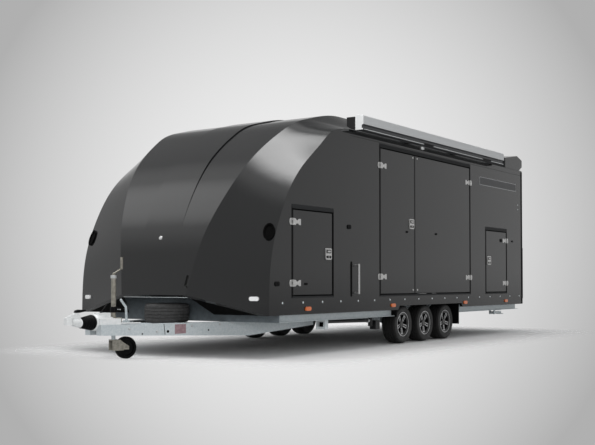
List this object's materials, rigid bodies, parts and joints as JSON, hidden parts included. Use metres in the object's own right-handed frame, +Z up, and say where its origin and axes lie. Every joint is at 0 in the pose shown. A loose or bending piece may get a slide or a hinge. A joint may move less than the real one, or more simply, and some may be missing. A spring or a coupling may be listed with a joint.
{
  "type": "enclosed cargo trailer",
  "caption": "Closed box trailer with a faceted rounded nose, side doors, rear ramp door, spoiler, roll-out awning, A-frame drawbar and low wheels, parked on its jockey wheel.",
  "frame": {"origin": "on the ground, under the middle of the trailer's whole footprint", "axes": "+X forward towards the coupling, +Y to the trailer's left, the side with the doors and the awning, +Z up"},
  "size_m": [8.043, 2.709, 2.665],
  "materials": {
    "body_paint": "satin",
    "galvanised": "matt galvanised",
    "cast_grey": "painted silver",
    "black_metal": "satin",
    "black_plastic": "matt",
    "rubber": "matt",
    "tyre": "matt",
    "alloy": "black with machined faces",
    "anodised": "anodised",
    "stainless": "brushed",
    "ply": "phenolic faced",
    "lens": "gloss",
    "red_lens": "gloss"
  },
  "bodies": {
    "trailer": {"chassis_rails": "galvanised", "cross_members": "galvanised", "front_bulkhead": "galvanised", "drawbar": "galvanised", "overrun_housing": "cast_grey", "coupling_head": "cast_grey", "coupling_bellows": "rubber", "coupling_handle": "black_plastic", "handbrake_lever": "galvanised", "jockey_mast": "galvanised", "spare_tyre": "tyre", "spare_rim": "black_metal", "spare_carrier": "black_metal", "axle_tubes": "galvanised", "swing_arms": "galvanised", "nose_middle": "body_paint", "nose_facets": "body_paint", "nose_floor": "black_metal", "nose_skirts": "black_metal", "vents": "black_plastic", "roof": "body_paint", "left_wall": "body_paint", "right_wall": "body_paint", "floor_deck": "ply", "rear_portal": "body_paint", "ramp_pins": "stainless", "fixed_hinges": "stainless", "awning_cassette": "anodised", "awning_brackets": "black_metal", "roof_spoiler": "body_paint", "mudguards": "black_plastic", "grab_handle": "stainless", "marker_lamps": "lens", "rear_lamps": "red_lens", "steady_brackets": "galvanised"},
    "hatch_front": {"hatch_front": "body_paint"},
    "door_front": {"door_front": "body_paint"},
    "door_rear": {"door_rear": "body_paint"},
    "hatch_rear": {"hatch_rear": "body_paint"},
    "ramp_door": {"ramp_door": "body_paint"},
    "jockey_leg": {"jockey_leg": "galvanised"},
    "jockey_fork": {"jockey_fork": "galvanised"},
    "jockey_wheel": {"jockey_wheel": "rubber"},
    "steady_left": {"steady_left": "galvanised"},
    "steady_right": {"steady_right": "galvanised"},
    "wheel_left_1": {"tyre_left_1": "tyre", "rim_left_1": "alloy"},
    "wheel_right_1": {"tyre_right_1": "tyre", "rim_right_1": "alloy"},
    "wheel_left_2": {"tyre_left_2": "tyre", "rim_left_2": "alloy"},
    "wheel_right_2": {"tyre_right_2": "tyre", "rim_right_2": "alloy"},
    "wheel_left_3": {"tyre_left_3": "tyre", "rim_left_3": "alloy"},
    "wheel_right_3": {"tyre_right_3": "tyre", "rim_right_3": "alloy"}
  },
  "joints": [
    {"name": "wheel_left_1_turn", "type": "hinge", "parent": "trailer", "child": "wheel_left_1", "pos_m": [-0.35, 1.017, 0.233], "axis": [0, 1, 0], "continuous": true},
    {"name": "wheel_right_1_turn", "type": "hinge", "parent": "trailer", "child": "wheel_right_1", "pos_m": [-0.35, -1.148, 0.233], "axis": [0, 1, 0], "continuous": true},
    {"name": "wheel_left_2_turn", "type": "hinge", "parent": "trailer", "child": "wheel_left_2", "pos_m": [-0.936, 1.017, 0.233], "axis": [0, 1, 0], "continuous": true},
    {"name": "wheel_right_2_turn", "type": "hinge", "parent": "trailer", "child": "wheel_right_2", "pos_m": [-0.936, -1.148, 0.233], "axis": [0, 1, 0], "continuous": true},
    {"name": "wheel_left_3_turn", "type": "hinge", "parent": "trailer", "child": "wheel_left_3", "pos_m": [-1.522, 1.017, 0.233], "axis": [0, 1, 0], "continuous": true},
    {"name": "wheel_right_3_turn", "type": "hinge", "parent": "trailer", "child": "wheel_right_3", "pos_m": [-1.522, -1.148, 0.233], "axis": [0, 1, 0], "continuous": true},
    {"name": "hatch_front_hinge", "type": "hinge", "parent": "trailer", "child": "hatch_front", "pos_m": [2.189, 1.2205, 1.0445], "axis": [0, 0, -1], "range_deg": [0, 105]},
    {"name": "door_front_hinge", "type": "hinge", "parent": "trailer", "child": "door_front", "pos_m": [0.401, 1.2205, 1.4505], "axis": [0, 0, -1], "range_deg": [0, 105]},
    {"name": "door_rear_hinge", "type": "hinge", "parent": "trailer", "child": "door_rear", "pos_m": [-2.081, 1.2205, 1.4505], "axis": [0, 0, 1], "range_deg": [0, 105]},
    {"name": "hatch_rear_hinge", "type": "hinge", "parent": "trailer", "child": "hatch_rear", "pos_m": [-3.362, 1.2205, 1.038], "axis": [0, 0, 1], "range_deg": [0, 105]},
    {"name": "ramp_hinge", "type": "hinge", "parent": "trailer", "child": "ramp_door", "pos_m": [-4.01, -0.0655, 0.542], "axis": [0, -1, 0], "range_deg": [0, 107]},
    {"name": "jockey_winding", "type": "slide", "parent": "trailer", "child": "jockey_leg", "axis": [0, 0, 1], "range_m": [-0.2, 0.012]},
    {"name": "jockey_castor", "type": "hinge", "parent": "jockey_leg", "child": "jockey_fork", "pos_m": [3.401, -0.0655, 0.184], "axis": [0, 0, 1], "continuous": true},
    {"name": "jockey_wheel_turn", "type": "hinge", "parent": "jockey_fork", "child": "jockey_wheel", "pos_m": [3.27884, -0.02104, 0.108], "axis": [0.342, 0.9397, 0], "continuous": true},
    {"name": "steady_left_hinge", "type": "hinge", "parent": "trailer", "child": "steady_left", "pos_m": [-3.266, 1.0245, 0.298], "axis": [0, -1, 0], "range_deg": [0, 65]},
    {"name": "steady_right_hinge", "type": "hinge", "parent": "trailer", "child": "steady_right", "pos_m": [-3.266, -1.1555, 0.298], "axis": [0, -1, 0], "range_deg": [0, 65]}
  ]
}
